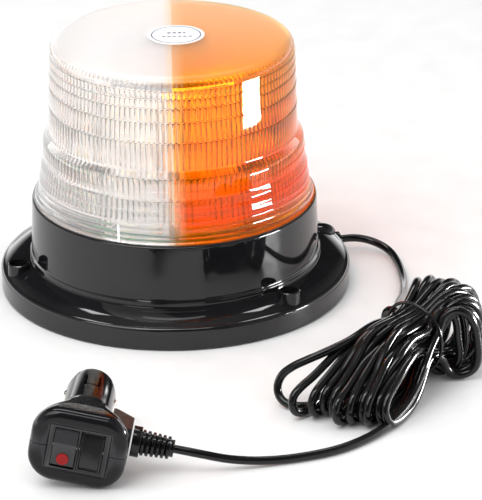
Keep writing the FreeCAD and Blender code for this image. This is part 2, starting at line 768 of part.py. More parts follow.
def make_barrel():
    """Barrel with its latch, nose cap, tip contact, fuse and spring, and the two side contacts."""
    tube = fuse(along_y("barrel_radius", "head_depth + 0.05", "barrel_end"),
                along_y("barrel_radius - 1.25", "28.1", "head_depth + 0.1"))
    # the latch is a tongue between two slits and a cross slit
    slits = [box("1", "latch_end - latch_start", "6", x, "latch_start", "5.4")
             for x in ("-latch_half_width", "latch_half_width - 1")]
    slits.append(box("2 * latch_half_width", "1.1", "6", "-latch_half_width", "latch_start", "5.4"))
    openings = [along_y("5", "26", "barrel_end"),
                along_y("barrel_radius - 2.1", "head_depth + 2", "barrel_end - 7.2"),
                along_y("6.6", "barrel_end - 7.4", "barrel_end + 2"),
                box("30", "7.6", "3.6", "-15", "side_contact_depth - 3.8", "-1.8")]
    keep(cut(tube, *openings, *slits), "plug_barrel", plug_frame())

    nose = fuse(along_y("nose_radius", "barrel_end + 0.1", "nose_end - 2"),
                along_y("6.4", "barrel_end - 6.8", "barrel_end + 1"),
                tapered_ring())
    bores = [along_y("3.9", "barrel_end - 9", "nose_end - 2"), along_y("2.8", "barrel_end", "nose_end + 2")]
    keep(cut(nose, *bores), "nose_cap", plug_frame())

    pin = fuse(along_y("contact_radius", "57.2", "nose_end + 3"), along_y("3.6", "57.1", "58.6"))
    dome = ellipsoid("contact_radius", "1.6", "contact_radius", "0", "nose_end + 3", "0")
    keep(fuse(pin, dome), "tip_contact", plug_frame())
    keep(along_y("fuse_radius - 0.15", "33.1", "50.9"), "fuse_glass", plug_frame())
    keep(group(along_y("fuse_radius", "27", "33"), along_y("fuse_radius", "51", "57")), "fuse_caps", plug_frame())
    spring = cut(along_y("3.1", "21", "26.95"), along_y("2.4", "19", "28"))
    keep(spring, "fuse_spring", plug_frame())
    seat = fuse(along_y("4", "17", "17.8"), box("3", "1.5", "0.8", "-1.5", "15.62", "-0.4"))
    keep(seat, "spring_seat", plug_frame())
    for label, side in (("side_contact_left", -1), ("side_contact_right", 1)):
        strip = box("1", "7", "3", "8.7" if side > 0 else "-9.7", "side_contact_depth - 3.5", "-1.5")
        nub = ellipsoid("2.2", "2.9", "1.4", "%g" % (side * 9.3), "side_contact_depth", "0")
        trim = box("3", "8", "4", "8.7" if side > 0 else "-11.7", "side_contact_depth - 4", "-2")
        keep(fuse(strip, common(nub, trim)), label, plug_frame())


def tapered_ring():
    """Chamfered end of the nose cap."""
    item = doc.addObject("Part::Cone", "Cone")
    item.setExpression("Radius1", bound("nose_radius"))
    item.setExpression("Radius2", bound("nose_radius - 1.6"))
    item.Height = 2
    return place(item, y="nose_end - 2", turn=Rotation(Vector(1, 0, 0), -90))


def relief_outline():
    """Half section of the ribbed strain relief, from the head outward."""
    outline = [("0", "0"), ("6.4", "0"), ("6.4", "3.6")]
    ribs = 6
    for step in range(ribs):
        start = 4.6 + 2.1 * step
        radius = 5.4 - 0.14 * step
        outline += [("%g" % (radius - 1.1), "%g" % (start - 0.9)), ("%g" % radius, "%g" % (start - 0.5)),
                    ("%g" % radius, "%g" % (start + 0.6)), ("%g" % (radius - 1.1), "%g" % (start + 0.9))]
    outline += [("3.6", "relief_length"), ("0", "relief_length")]
    return outline


def make_plug_inside():
    """Strain relief and the small board behind the switches."""
    body = turned(relief_outline())
    offset = Placement(Vector(size("head_width") / 2 + 0.6, size("relief_depth"), 0),
                       Rotation(Vector(0, 1, 0), 90))
    keep(body, "strain_relief", plug_frame() * offset)
    keep(box("22", "1.6", "17", "-11", "14", "-8.5"), "plug_board", plug_frame())


make_housing()
make_underside()
make_lens()
make_driver()
make_tower()
make_light_boards()
make_cord()
make_shells()
make_switches()
make_barrel()
make_plug_inside()
doc.recompute()

problems = [item.Name for item in doc.Objects if "Invalid" in item.State or "Error" in item.State]
for piece in pieces:
    if piece.Shape.isNull() or not piece.Shape.isValid():
        problems.append(piece.Label)
if problems:
    raise RuntimeError("failed objects: " + ", ".join(problems))

os.makedirs("parts", exist_ok=True)
for piece in pieces:
    box_now = piece.Shape.BoundBox
    print("%-20s solids %2d volume %9.1f  z %.2f..%.2f" % (piece.Label, len(piece.Shape.Solids),
                                                           piece.Shape.Volume, box_now.ZMin, box_now.ZMax))
    piece.Shape.exportStep("parts/%s.step" % piece.Label)
print(len(pieces), "sub-parts")
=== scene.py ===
import json
import math

import bmesh
import bpy
import numpy as np
from mathutils import Matrix, Vector


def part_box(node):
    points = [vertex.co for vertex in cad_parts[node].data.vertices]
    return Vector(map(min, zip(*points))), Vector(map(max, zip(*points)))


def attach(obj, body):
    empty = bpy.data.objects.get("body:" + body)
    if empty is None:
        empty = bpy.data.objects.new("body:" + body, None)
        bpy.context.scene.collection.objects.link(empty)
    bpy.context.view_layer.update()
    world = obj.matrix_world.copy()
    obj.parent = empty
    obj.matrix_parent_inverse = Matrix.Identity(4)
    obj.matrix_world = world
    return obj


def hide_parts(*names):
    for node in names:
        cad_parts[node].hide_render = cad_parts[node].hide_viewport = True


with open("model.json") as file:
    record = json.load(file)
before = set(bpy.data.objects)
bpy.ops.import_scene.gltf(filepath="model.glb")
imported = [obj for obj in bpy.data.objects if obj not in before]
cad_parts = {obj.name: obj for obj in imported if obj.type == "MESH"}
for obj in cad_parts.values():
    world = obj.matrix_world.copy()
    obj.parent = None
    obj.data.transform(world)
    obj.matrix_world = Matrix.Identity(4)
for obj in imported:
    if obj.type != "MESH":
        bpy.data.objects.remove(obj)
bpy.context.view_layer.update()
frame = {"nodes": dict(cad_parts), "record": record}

MM = 0.001


def lowest(node):
    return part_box(node)[0]


def highest(node):
    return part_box(node)[1]


def placed(name, data):
    """A new object in the scene."""
    item = bpy.data.objects.new(name, data)
    bpy.context.scene.collection.objects.link(item)
    return item


def add_face(bm, corners):
    """A face over the corners that differ, so a strip that ends in a point gives triangles."""
    unique = [vert for place, vert in enumerate(corners) if vert not in corners[:place]]
    if len(unique) > 2:
        bm.faces.new(unique)


# ------------------------------------------------------------------ camera

IMAGE_WIDTH = 482
FOCAL_PIXELS = 3500.0
SENSOR = 36.0


def make_camera():
    """A long lens a metre and a half away, looking down 23 degrees onto the base."""
    data = bpy.data.cameras.new("camera")
    data.sensor_fit = "HORIZONTAL"
    data.sensor_width = SENSOR
    data.lens = FOCAL_PIXELS * SENSOR / IMAGE_WIDTH
    data.shift_x = 0.0471
    data.shift_y = -0.0273
    data.clip_start = 0.1
    data.clip_end = 20.0
    camera = placed("camera", data)
    right = Vector((0.999767, -0.018243, -0.011511))
    up = Vector((0.017697, 0.388560, 0.921254))
    forward = Vector((0.012334, 0.921243, -0.388792))
    axes = Matrix((right, up, -forward)).transposed()
    camera.matrix_world = Matrix.Translation((0.0, -1.47947, 0.64511)) @ axes.to_4x4()
    bpy.context.scene.camera = camera


make_camera()

# ------------------------------------------------------------------ cord

CORD = 3.6 * MM

# The cord's route in millimetres, from the base to the hank and from the hank to the plug.
LEAD_ROUTE = [
    (76.63, 27.89, 6.7), (82.13, 29.89, 6.7),
    (89.4, 29.8, 5.8), (95.8, 26.6, 4.4), (100.2, 21.0, 3.2), (102.6, 13.2, 2.4), (104.1, 1.0, 2.1),
    (104.2, -17.0, 2.9), (101.8, -42.0, 8.0), (98.4, -65.0, 15.6), (96.6, -83.8, 19.8),
]
TAIL_ROUTE = [
    (108.4, -124.4, 20.6), (105.2, -134.6, 17.4), (101.6, -140.6, 10.4), (95.4, -152.2, 4.2),
    (84.2, -168.0, 2.1), (67.8, -183.0, 2.0), (52.0, -189.6, 2.0), (36.0, -193.4, 2.2),
    (21.0, -196.6, 4.6), (8.18, -198.43, 8.65), (-1.99, -197.54, 10.63),
]

HANK_TURNS = 14
HANK_STEP = 3.4
STRAND_GAP = 3.65
SETTLE_ROUNDS = 320
TIE_HALF_WIDTH = 4.0
TIE_GRIP = 13.2
# How near points two and four steps apart may come, which keeps the folds from kinking.
FOLD_LIMITS = ((2, 6.5), (4, 11.4))
TIE_PLACE = Vector((102.0, -110.0, 19.18))
HANK_ANGLE = math.radians(46.0)
HANK_SLOPE = math.radians(2.93)
HANK_ALONG = Vector((math.cos(HANK_ANGLE) * math.cos(HANK_SLOPE),
                     math.sin(HANK_ANGLE) * math.cos(HANK_SLOPE), math.sin(HANK_SLOPE)))
HANK_SIDE = Vector((-math.sin(HANK_ANGLE), math.cos(HANK_ANGLE), 0.0))
HANK_UP = HANK_ALONG.cross(HANK_SIDE)


def hank_axes():
    return np.array([HANK_ALONG, HANK_SIDE, HANK_UP])


# Each end of each turn: the direction in degrees from the hank's own line, and how far it reaches.
THIN_FOLDS = [(16, 62), (8, 70), (1, 60), (3, 64), (-5, 61), (-9, 64), (-3, 55), (-13, 61),
              (-17, 57), (-20, 60), (-12, 50), (-24, 56), (-21, 53), (-27, 57)]
THICK_FOLDS = [(62, 27), (36, 39), (27, 42), (18, 40), (10, 42), (4, 39), (-3, 40), (-9, 35),
               (-16, 34), (-24, 24), (-29, 31), (-40, 18), (-44, 28), (-56, 27)]
# The first turn's own ends: the widest loop, open and low, and the small one beside the lead.
WIDE_LOOP = [(-16, 9, 12), (-31, 7, 12), (-43, 11, 10), (-53, 18, 6), (-58, 25, 0), (-59, 26, -6),
             (-61, 20, -11), (-57, 12, -13), (-47, 7, -13), (-34, 6, -13), (-18, 8, -12.5)]
SMALL_LOOP = [(4, 17, -12), (7, 22, -9), (9, 25, -2), (9, 24, 5), (6, 19, 9), (2, 14, 9)]
# Outline of an end, from the upper strand round to the lower: share of the reach, and height.
THIN_END = ((0.25, 14.5), (0.5, 12.5), (0.72, 5.0), (0.9, -2.5), (1.0, -8.5),
            (0.96, -13.0), (0.8, -13.0), (0.5, -13.0))
THICK_END = ((0.5, 16.0), (0.75, 17.0), (0.93, 11.0), (1.0, 1.0),
             (0.97, -8.0), (0.82, -15.0), (0.5, -17.0))


def fold(angle, reach, profile, side, swell, layer):
    """One end of a turn as (along, side, up) points, from its upper strand round to its lower one."""
    turn = math.radians(angle)
    points = []
    for share, height in profile:
        lateral = reach * share * math.sin(turn) + side * swell * (1 - share)
        rise = height * (layer + (1 - layer) * share) if height > 0 else height
        points.append((reach * share * math.cos(turn), lateral, rise))
    return points


def hank_design():
    """The turns before they settle, as (along, side, up) points in millimetres from the tie."""
    chain = []
    for turn in range(HANK_TURNS):
        share = turn / (HANK_TURNS - 1)
        side = 12.5 - 25.0 * share
        roof = math.sqrt(1.0 - (side / 16.0) ** 2)
        level = (6.0 if turn % 2 else 12.5) * roof
        chain.append((0.0, side, level))
        angle, reach = THIN_FOLDS[turn]
        if turn == 0:
            chain += WIDE_LOOP
        else:
            layer = roof * (0.62 if turn % 2 else 1.0)
            chain += [(-along, across, up) for along, across, up in
                      fold(angle, reach, THIN_END, side, 0.95, layer)]
        chain.append((0.0, side * 0.9, -level))
        angle, reach = THICK_FOLDS[turn]
        if turn == 0:
            chain += SMALL_LOOP
        else:
            chain += reversed(fold(angle, reach, THICK_END, side, 0.25, 0.8))
    chain.append((0.0, -13.0, 3.0))
    return np.array(chain, float)


def evenly(points, step):
    """Points a step apart along a smooth line through the given ones."""
    fine = []
    padded = np.vstack([2 * points[0] - points[1], points, 2 * points[-1] - points[-2]])
    for a, b, c, d in zip(padded, padded[1:], padded[2:], padded[3:]):
        for share in np.linspace(0, 1, 12, endpoint=False):
            fine.append(0.5 * (2 * b + (c - a) * share + (2 * a - 5 * b + 4 * c - d) * share ** 2
                               + (3 * b - a - 3 * c + d) * share ** 3))
    fine = np.array(fine + [points[-1]])
    along = np.concatenate([[0], np.cumsum(np.linalg.norm(np.diff(fine, axis=0), axis=1))])
    places = np.linspace(0, along[-1], int(along[-1] / step) + 1)
    return np.stack([np.interp(places, along, fine[:, k]) for k in range(3)], axis=1)


def close_pairs(points, reach):
    """Pairs of points on different strands that are nearer than a distance."""
    gaps = ((points[:, None, :] - points[None, :, :]) ** 2).sum(2)
    first, second = np.nonzero(gaps < reach * reach)
    apart = second - first > 4
    return first[apart], second[apart]


def settle(points, thick, rounds):
    """Push the turns apart, lay them on the floor and hold them in the tie."""
    step = float(np.linalg.norm(np.diff(points, axis=0), axis=1).mean())
    axes = hank_axes()
    centre = np.array(TIE_PLACE)
    goal = points.copy()
    held = np.abs((points - centre) @ axes[0]) < TIE_HALF_WIDTH
    for cycle in range(rounds):
        if cycle % 6 == 0:
            first, second = close_pairs(points, 2.0 * thick)
        points = points + 0.015 * (goal - points)
        points[:, 2] -= 0.05
        bend = points[:-4] - 4 * points[1:-3] + 6 * points[2:-2] - 4 * points[3:-1] + points[4:]
        points[2:-2] -= 0.055 * bend
        for _ in range(2):
            gap = points[second] - points[first]
            away = np.linalg.norm(gap, axis=1) + 1e-9
            push = gap * (np.clip(thick - away, 0, None) / away * 0.4)[:, None]
            np.add.at(points, first, -push)
            np.add.at(points, second, push)
            points[:, 2] = np.maximum(points[:, 2], thick / 2 + 0.05)
        for reach, chord in FOLD_LIMITS:
            across = points[reach:] - points[:-reach]
            long = np.linalg.norm(across, axis=1)
            part = across * (np.clip(chord - long, 0, None) / long * 0.2)[:, None]
            points[reach:] += part
            points[:-reach] -= part
        local = (points - centre) @ axes.T
        spread = np.linalg.norm(local[:, 1:], axis=1)
        inward = np.where(held & (spread > TIE_GRIP), TIE_GRIP / np.maximum(spread, 1e-9), 1.0)
        local[:, 1:] *= inward[:, None]
        points = local @ axes + centre
        for parity in (0, 1, 0, 1):
            left = points[parity:-1:2]
            right = points[parity + 1::2]
            pair = right - left
            long = np.linalg.norm(pair, axis=1)
            shift = pair * ((long - step) / long * 0.5)[:, None]
            left += shift
            right -= shift
        points[:2] = goal[:2]
        points[-2:] = goal[-2:]
    return points


def tube_from(curve, name):
    """Turn a curve with thickness into a mesh tube, and give the points along its middle."""
    thickness = curve.data.bevel_depth
    tubes = []
    for depth in (thickness, 0.0):
        curve.data.bevel_depth = depth
        curve.data.use_fill_caps = depth > 0
        bpy.context.view_layer.update()
        shown = curve.evaluated_get(bpy.context.evaluated_depsgraph_get())
        tubes.append(bpy.data.meshes.new_from_object(shown))
    mesh, line = tubes
    mesh.name = name
    mesh.polygons.foreach_set("use_smooth", [True] * len(mesh.polygons))
    bpy.data.objects.remove(curve, do_unlink=True)
    return placed(name, mesh), [tuple(vert.co) for vert in line.vertices]


def spline_tube(name, places, order, steps, radius, sides):
    """A mesh tube along a NURBS line, and the points along its middle; places are in metres."""
    data = bpy.data.curves.new(name + "_line", "CURVE")
    data.dimensions = "3D"
    spline = data.splines.new("NURBS")
    spline.points.add(len(places) - 1)
    for point, place in zip(spline.points, places):
        point.co = (*place, 1.0)
    spline.order_u = order
    spline.use_endpoint_u = True
    spline.resolution_u = steps
    data.bevel_depth = radius
    data.bevel_resolution = sides
    return tube_from(placed(name + "_line", data), name)


def make_cord():
    """The whole cord along one spline: lead, settled hank and tail."""
    axes = hank_axes()
    centre = np.array(TIE_PLACE)
    design = hank_design() @ axes + centre
    joined = np.vstack([LEAD_ROUTE[-1:], design, TAIL_ROUTE[:1]])
    turns = settle(evenly(joined, HANK_STEP), STRAND_GAP, SETTLE_ROUNDS)
    route = LEAD_ROUTE[:-1] + [tuple(p) for p in turns[:-2:2]] + TAIL_ROUTE
    places = [(x * MM, y * MM, z * MM) for x, y, z in route]
    return spline_tube("cord", places, 3, 4, CORD / 2, 4)


cord, cord_path = make_cord()
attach(cord, "beacon_base")
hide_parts("cord_lead", "cord_hank", "cord_tail")


def make_tie():
    """A thin tie round the waist of the hank, open for a short way underneath."""
    axes = (HANK_ALONG, HANK_SIDE, HANK_UP)
    radius = 15.6
    places = []
    for step in range(33):
        angle = math.radians(-80.0 + 340.0 * step / 32)
        local = (0.35 * math.sin(3 * angle), radius * math.cos(angle), radius * math.sin(angle))
        spot = TIE_PLACE + sum((axis * value for axis, value in zip(axes, local)), Vector())
        places.append(tuple(spot * MM))
    return spline_tube("cord_tie_wire", places, 4, 12, 0.75 * MM, 3)[0]


tie = make_tie()
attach(tie, "beacon_base")
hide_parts("cord_tie")

# ------------------------------------------------------------------ materials

LENS_FLUTES = 144
# Heights in metres: where the flutes begin and end, and the painted shade lines round the skirt at its
# rings.
FLUTED_FROM = 0.0525
FLUTED_TO = 0.1165
SKIRT_SHADE_LINES = (0.0725, 0.0628, 0.0606, 0.0562, 0.0528, 0.0498, 0.0470)
SKIRT_SHADE_HALF = 0.00022


def add_node(tree, kind, settings=None, **inputs):
    """A new node; inputs are plain values or the sockets that feed them."""
    node = tree.nodes.new(kind)
    for key, value in (settings or {}).items():
        setattr(node, key, value)
    for key, value in inputs.items():
        socket = node.inputs[key.replace("_", " ")]
        if isinstance(value, bpy.types.NodeSocket):
            tree.links.new(value, socket)
        else:
            socket.default_value = value
    return node


def new_material(name):
    material = bpy.data.materials.new(name)
    material.use_nodes = True
    material.node_tree.nodes.clear()
    return material


def span(tree, value, low, high, start=0.3, end=0.7):
    """Stretch a 0 to 1 pattern to a range of numbers."""
    node = add_node(tree, "ShaderNodeMapRange")
    tree.links.new(value, node.inputs["Value"])
    for key, number in (("From Min", start), ("From Max", end), ("To Min", low), ("To Max", high)):
        node.inputs[key].default_value = number
    return node.outputs["Result"]


def pattern(tree, scale, detail=3.0, rough=0.55, stretch=(1, 1, 1)):
    """Noise in the object's own metres."""
    place = add_node(tree, "ShaderNodeTexCoord").outputs["Object"]
    mapping = add_node(tree, "ShaderNodeMapping", Scale=stretch, Vector=place)
    noise = add_node(tree, "ShaderNodeTexNoise", Scale=scale, Detail=detail, Roughness=rough,
                     Vector=mapping.outputs["Vector"])
    return noise.outputs["Fac"]


def mixed(tree, share, first, second):
    node = add_node(tree, "ShaderNodeMix", {"data_type": "RGBA"})
    tree.links.new(share, node.inputs[0])
    for socket, colour in ((node.inputs[6], first), (node.inputs[7], second)):
        if isinstance(colour, bpy.types.NodeSocket):
            tree.links.new(colour, socket)
        else:
            socket.default_value = (*colour, 1.0)
    return node.outputs[2]


def surface(name, colour, rough, grain=1500.0, relief=0.00002, metal=0.0, vary=0.25, coat=0.0,
            stretch=(1, 1, 1), wear=None, shine=0.5):
    """Moulded, drawn or cast stuff: colour and roughness that drift, and a fine grain in relief."""
    material = new_material(name)
    tree = material.node_tree
    drift = pattern(tree, 60.0, 4.0)
    fine = pattern(tree, grain, 3.0, 0.6, stretch)
    darker = tuple(part * (1 - vary) for part in colour)
    lighter = tuple(min(1.0, part * (1 + vary)) for part in colour)
    tint = mixed(tree, span(tree, drift, 0.0, 1.0), darker, lighter)
    if wear is not None:
        worn = add_node(tree, "ShaderNodeNewGeometry").outputs["Pointiness"]
        tint = mixed(tree, span(tree, worn, 0.0, 1.0, 0.53, 0.62), tint, wear)
    bump = add_node(tree, "ShaderNodeBump", Strength=1.0, Distance=relief, Height=fine)
    shader = add_node(tree, "ShaderNodeBsdfPrincipled", Metallic=metal, Base_Color=tint,
                      Roughness=span(tree, drift, rough * 0.8, rough * 1.25), Normal=bump.outputs["Normal"],
                      Specular_IOR_Level=shine, Coat_Weight=coat, Coat_Roughness=0.05)
    add_node(tree, "ShaderNodeOutputMaterial", Surface=shader.outputs["BSDF"])
    return material


def maths(tree, kind, *values):
    """A math node fed by sockets or plain numbers."""
    node = add_node(tree, "ShaderNodeMath", {"operation": kind})
    for socket, value in zip(node.inputs, values):
        if isinstance(value, bpy.types.NodeSocket):
            tree.links.new(value, socket)
        else:
            socket.default_value = value
    return node.outputs[0]


def banded(tree, value, centre, half):
    """One inside a band about a value, zero outside it."""
    return maths(tree, "LESS_THAN", maths(tree, "ABSOLUTE", maths(tree, "SUBTRACT", value, centre)), half)


def flute_shade(tree, parts):
    """Painted shade: uneven dark lines between the flutes, broken by the rings, and dark lines at the
    skirt's rings, from 0 to 1.
    """
    height = parts.outputs["Z"]
    turn = maths(tree, "ARCTAN2", parts.outputs["Y"], parts.outputs["X"])
    place = maths(tree, "MULTIPLY", turn, LENS_FLUTES / (2 * math.pi))
    wave = maths(tree, "ABSOLUTE", maths(tree, "SUBTRACT", maths(tree, "FRACT", place), 0.5))
    line = span(tree, wave, 0.0, 1.0, 0.30, 0.47)
    level = maths(tree, "FLOOR", maths(tree, "MULTIPLY", height, 95.0))
    spot = add_node(tree, "ShaderNodeCombineXYZ", X=maths(tree, "ROUND", place), Y=level)
    chance = add_node(tree, "ShaderNodeTexWhiteNoise", {"noise_dimensions": "3D"},
                      Vector=spot.outputs["Vector"])
    uneven = maths(tree, "POWER", chance.outputs["Value"], 1.6)
    shade = maths(tree, "MULTIPLY", line, uneven)
    fluted = maths(tree, "MULTIPLY", maths(tree, "GREATER_THAN", height, FLUTED_FROM),
                   maths(tree, "LESS_THAN", height, FLUTED_TO))
    aside = span(tree, maths(tree, "ABSOLUTE", parts.outputs["X"]), 1.0, 0.15, 0.028, 0.054)
    total = maths(tree, "MULTIPLY", maths(tree, "MULTIPLY", shade, fluted), aside)
    # Painted shade: a dark line at each of the skirt's rings.
    for line_height in SKIRT_SHADE_LINES:
        ring = banded(tree, height, line_height, SKIRT_SHADE_HALF)
        total = maths(tree, "MAXIMUM", total, maths(tree, "MULTIPLY", ring, 0.55))
    return total


def lens_plastic(name, tint, shade_tint, top_reflection_tints, skirt_tint, seam_light_tint, passed, milky, seam, shine,
                 rough=0.03):
    """Clear or dyed polycarbonate: hazy on top, milky and deeper in colour round its skirt. Its colour also
    carries painted light: a painted reflection that pales the top towards the back, painted light near the
    seam, and painted shade along the flutes and the skirt's rings.
    """
    material = new_material(name)
    tree = material.node_tree
    place = add_node(tree, "ShaderNodeTexCoord").outputs["Object"]
    parts = add_node(tree, "ShaderNodeSeparateXYZ", Vector=place)
    height = parts.outputs["Z"]
    on_top = span(tree, height, 0.0, 1.0, 0.1150, 0.1172)
    on_skirt = maths(tree, "MULTIPLY", span(tree, height, 1.0, 0.0, 0.060, 0.078),
                     span(tree, height, 0.25, 1.0, 0.046, 0.052))
    reflection_to_back = span(tree, parts.outputs["Y"], 0.0, 1.0, -0.052, 0.030)
    # Painted light: the colour pales near the seam, standing for light passing across from the other half.
    seam_light_share = span(tree, parts.outputs["X"], *seam)
    haze = pattern(tree, 90.0, 4.0)
    ripple = pattern(tree, 260.0, 2.0, 0.5, (1, 1, 0.25))
    bump = add_node(tree, "ShaderNodeBump", Strength=1.0, Distance=0.00003, Height=ripple)
    paler = tuple(min(1.0, part * 1.04 + 0.005) for part in tint)
    side = mixed(tree, span(tree, haze, 0.0, 1.0), tint, paler)
    lower = mixed(tree, on_skirt, side, skirt_tint)
    # Painted shade: dark lines along the flutes and at the skirt's rings.
    with_flute_shade = mixed(tree, flute_shade(tree, parts), lower, shade_tint)
    # Painted reflection: the top's tint pales from front to back, standing for the bright light overhead
    # mirrored in it.
    upper = mixed(tree, reflection_to_back, top_reflection_tints[0], top_reflection_tints[1])
    whole = mixed(tree, on_top, with_flute_shade, upper)
    foggy = maths(tree, "MULTIPLY_ADD", on_top, 0.34, span(tree, haze, rough * 0.5, rough * 1.6))
    tick = maths(tree, "MULTIPLY", banded(tree, height, 0.0470, 0.0036),
                 banded(tree, parts.outputs["X"], -0.0249, 0.0004))
    side_milk, top_milk, skirt_milk = milky
    milk = span(tree, on_skirt, 1 - side_milk, 1 - skirt_milk, 0.0, 1.0)
    passing = maths(tree, "MULTIPLY_ADD", on_top, -top_milk, milk)
    shader = add_node(tree, "ShaderNodeBsdfPrincipled", IOR=1.49, Specular_IOR_Level=shine,
                      Base_Color=mixed(tree, seam_light_share, whole, seam_light_tint), Roughness=foggy,
                      Transmission_Weight=maths(tree, "SUBTRACT", passing, tick),
                      Normal=bump.outputs["Normal"])
    clear = add_node(tree, "ShaderNodeBsdfTransparent", Color=(*passed, 1.0))
    light = add_node(tree, "ShaderNodeLightPath")
    mix = add_node(tree, "ShaderNodeMixShader")
    tree.links.new(light.outputs["Is Shadow Ray"], mix.inputs[0])
    tree.links.new(shader.outputs["BSDF"], mix.inputs[1])
    tree.links.new(clear.outputs["BSDF"], mix.inputs[2])
    add_node(tree, "ShaderNodeOutputMaterial", Surface=mix.outputs["Shader"])
    return material


def clear_glass():
    """The fuse's glass tube."""
    material = new_material("fuse_glass_clear")
    tree = material.node_tree
    haze = pattern(tree, 300.0, 3.0)
    shader = add_node(tree, "ShaderNodeBsdfPrincipled", IOR=1.49, Transmission_Weight=1.0,
                      Base_Color=mixed(tree, haze, (0.9, 0.95, 0.94), (0.97, 0.98, 0.98)),
                      Roughness=span(tree, haze, 0.01, 0.05))
    add_node(tree, "ShaderNodeOutputMaterial", Surface=shader.outputs["BSDF"])
    return material


LABEL_CENTRE = (lowest("lens_label") + highest("lens_label")) / 2
LABEL_RADIUS = (highest("lens_label").x - lowest("lens_label").x) / 2


def label_film():
    """White film with a printed ring and two rows of plain bars in place of words."""
    material = new_material("label_film")
    tree = material.node_tree
    place = add_node(tree, "ShaderNodeTexCoord").outputs["Object"]
    mapping = add_node(tree, "ShaderNodeMapping", Location=(-LABEL_CENTRE.x, -LABEL_CENTRE.y, 0.0),
                       Vector=place)
    parts = add_node(tree, "ShaderNodeSeparateXYZ", Vector=mapping.outputs["Vector"])
    across, along = parts.outputs["X"], parts.outputs["Y"]
    squares = [maths(tree, "MULTIPLY", value, value) for value in (across, along)]
    reach = maths(tree, "SQRT", maths(tree, "ADD", *squares))
    ring = banded(tree, reach, LABEL_RADIUS * 0.86, 0.0003)
    dashes = maths(tree, "GREATER_THAN", maths(tree, "FRACT", maths(tree, "MULTIPLY", across, 420.0)), 0.35)
    bars = maths(tree, "MULTIPLY", banded(tree, along, 0.0024, 0.0008), banded(tree, across, 0.0, 0.0042))
    fine = maths(tree, "MULTIPLY", banded(tree, along, -0.0024, 0.0006), banded(tree, across, 0.0, 0.0074))
    rows = maths(tree, "MULTIPLY", dashes, maths(tree, "MAXIMUM", bars, fine))
    print_marks = maths(tree, "MAXIMUM", ring, rows)
    shade = pattern(tree, 400.0, 3.0)
    paper = mixed(tree, shade, (0.86, 0.86, 0.87), (0.93, 0.93, 0.93))
    colour = mixed(tree, print_marks, paper, (0.12, 0.14, 0.22))
    shader = add_node(tree, "ShaderNodeBsdfPrincipled", Roughness=0.35, Base_Color=colour)
    add_node(tree, "ShaderNodeOutputMaterial", Surface=shader.outputs["BSDF"])
    return material


MATERIALS = {
    "housing_black": surface("housing_gloss", (0.008, 0.008, 0.009), 0.06, 900.0, 0.000002),
    "pad_rubber": surface("pad_rubber", (0.03, 0.03, 0.03), 0.75, 2600.0, 0.00008),
    "zinc_steel": surface("zinc_steel", (0.62, 0.63, 0.64), 0.32, 500.0, 0.00001, 1.0, 0.1),
    "ferrite": surface("ferrite", (0.07, 0.07, 0.075), 0.6, 1800.0, 0.00005, vary=0.3),
    "screw_steel": surface("screw_steel", (0.7, 0.7, 0.71), 0.25, 900.0, 0.00001, 1.0, 0.1),
    # The lens tints carry painted light: the top tints pale towards the back as a painted reflection, the
    # seam tints are painted light from the other half, and the shade tints give painted shade along the
    # flutes.
    "lens_amber": lens_plastic("lens_amber_plastic", (1.0, 0.46, 0.0), (0.45, 0.13, 0.0),
                               ((1.0, 0.45, 0.05), (1.0, 0.80, 0.58)), (1.0, 0.17, 0.01), (1.0, 0.80, 0.58),
                               (1.0, 0.56, 0.05), (0.0, 0.22, 0.30), (0.8, 0.0, 0.0, 0.0055), 0.06),
    "lens_clear": lens_plastic("lens_clear_plastic", (0.985, 0.99, 0.99), (0.62, 0.63, 0.64),
                               ((0.95, 0.95, 0.96), (0.98, 0.98, 0.98)), (0.93, 0.94, 0.95),
                               (1.0, 0.82, 0.62), (0.96, 0.97, 0.97), (0.05, 0.3, 0.18),
                               (0.0, 0.9, -0.004, 0.0), 0.4),
    "label": label_film(),
    "gasket_rubber": surface("gasket_rubber", (0.04, 0.04, 0.04), 0.7, 2200.0, 0.00004),
    "board_green": surface("board_green", (0.02, 0.2, 0.07), 0.35, 700.0, 0.00002, vary=0.35),
    "can_aluminium": surface("can_aluminium", (0.72, 0.72, 0.74), 0.3, 900.0, 0.00001, 1.0),
    "component_black": surface("component_black", (0.03, 0.03, 0.03), 0.5, 1600.0, 0.00003),
    "connector_nylon": surface("connector_nylon", (0.8, 0.78, 0.68), 0.5, 900.0, 0.00002, vary=0.08),
    "tower_aluminium": surface("tower_aluminium", (0.5, 0.51, 0.52), 0.35, 500.0, 0.00001, 1.0, 0.08,
                               stretch=(1, 1, 0.05)),
    "board_white": surface("board_white", (0.86, 0.87, 0.87), 0.4, 900.0, 0.00001, vary=0.05),
    "led_white": surface("led_white", (0.93, 0.88, 0.70), 0.15, 900.0, 0.00001, vary=0.08, coat=0.5),
    "led_amber": surface("led_amber", (0.9, 0.62, 0.3), 0.15, 900.0, 0.00001, vary=0.08, coat=0.5),
    "cable_pvc": surface("cable_pvc", (0.004, 0.004, 0.0045), 0.16, 1200.0, 0.00001, vary=0.35, shine=0.4),
    "plug_black": surface("plug_black", (0.006, 0.006, 0.007), 0.10, 2600.0, 0.000004,
                          wear=(0.03, 0.03, 0.033), shine=0.28),
    "switch_black": surface("switch_black", (0.010, 0.010, 0.011), 0.24, 3000.0, 0.00002,
                            wear=(0.06, 0.06, 0.065)),
    "indicator_red": surface("indicator_red", (0.30, 0.003, 0.004), 0.15, 900.0, 0.00001, shine=0.3),
    "contact_nickel": surface("contact_nickel", (0.8, 0.78, 0.74), 0.16, 900.0, 0.00001, 1.0, 0.08),
    "spring_steel": surface("spring_steel", (0.6, 0.6, 0.6), 0.3, 900.0, 0.00001, 1.0, 0.1),
    "fuse_glass": clear_glass(),
}

SLOT_OF = {part["node"]: part["material_slot"] for part in frame["record"]["subparts"]}


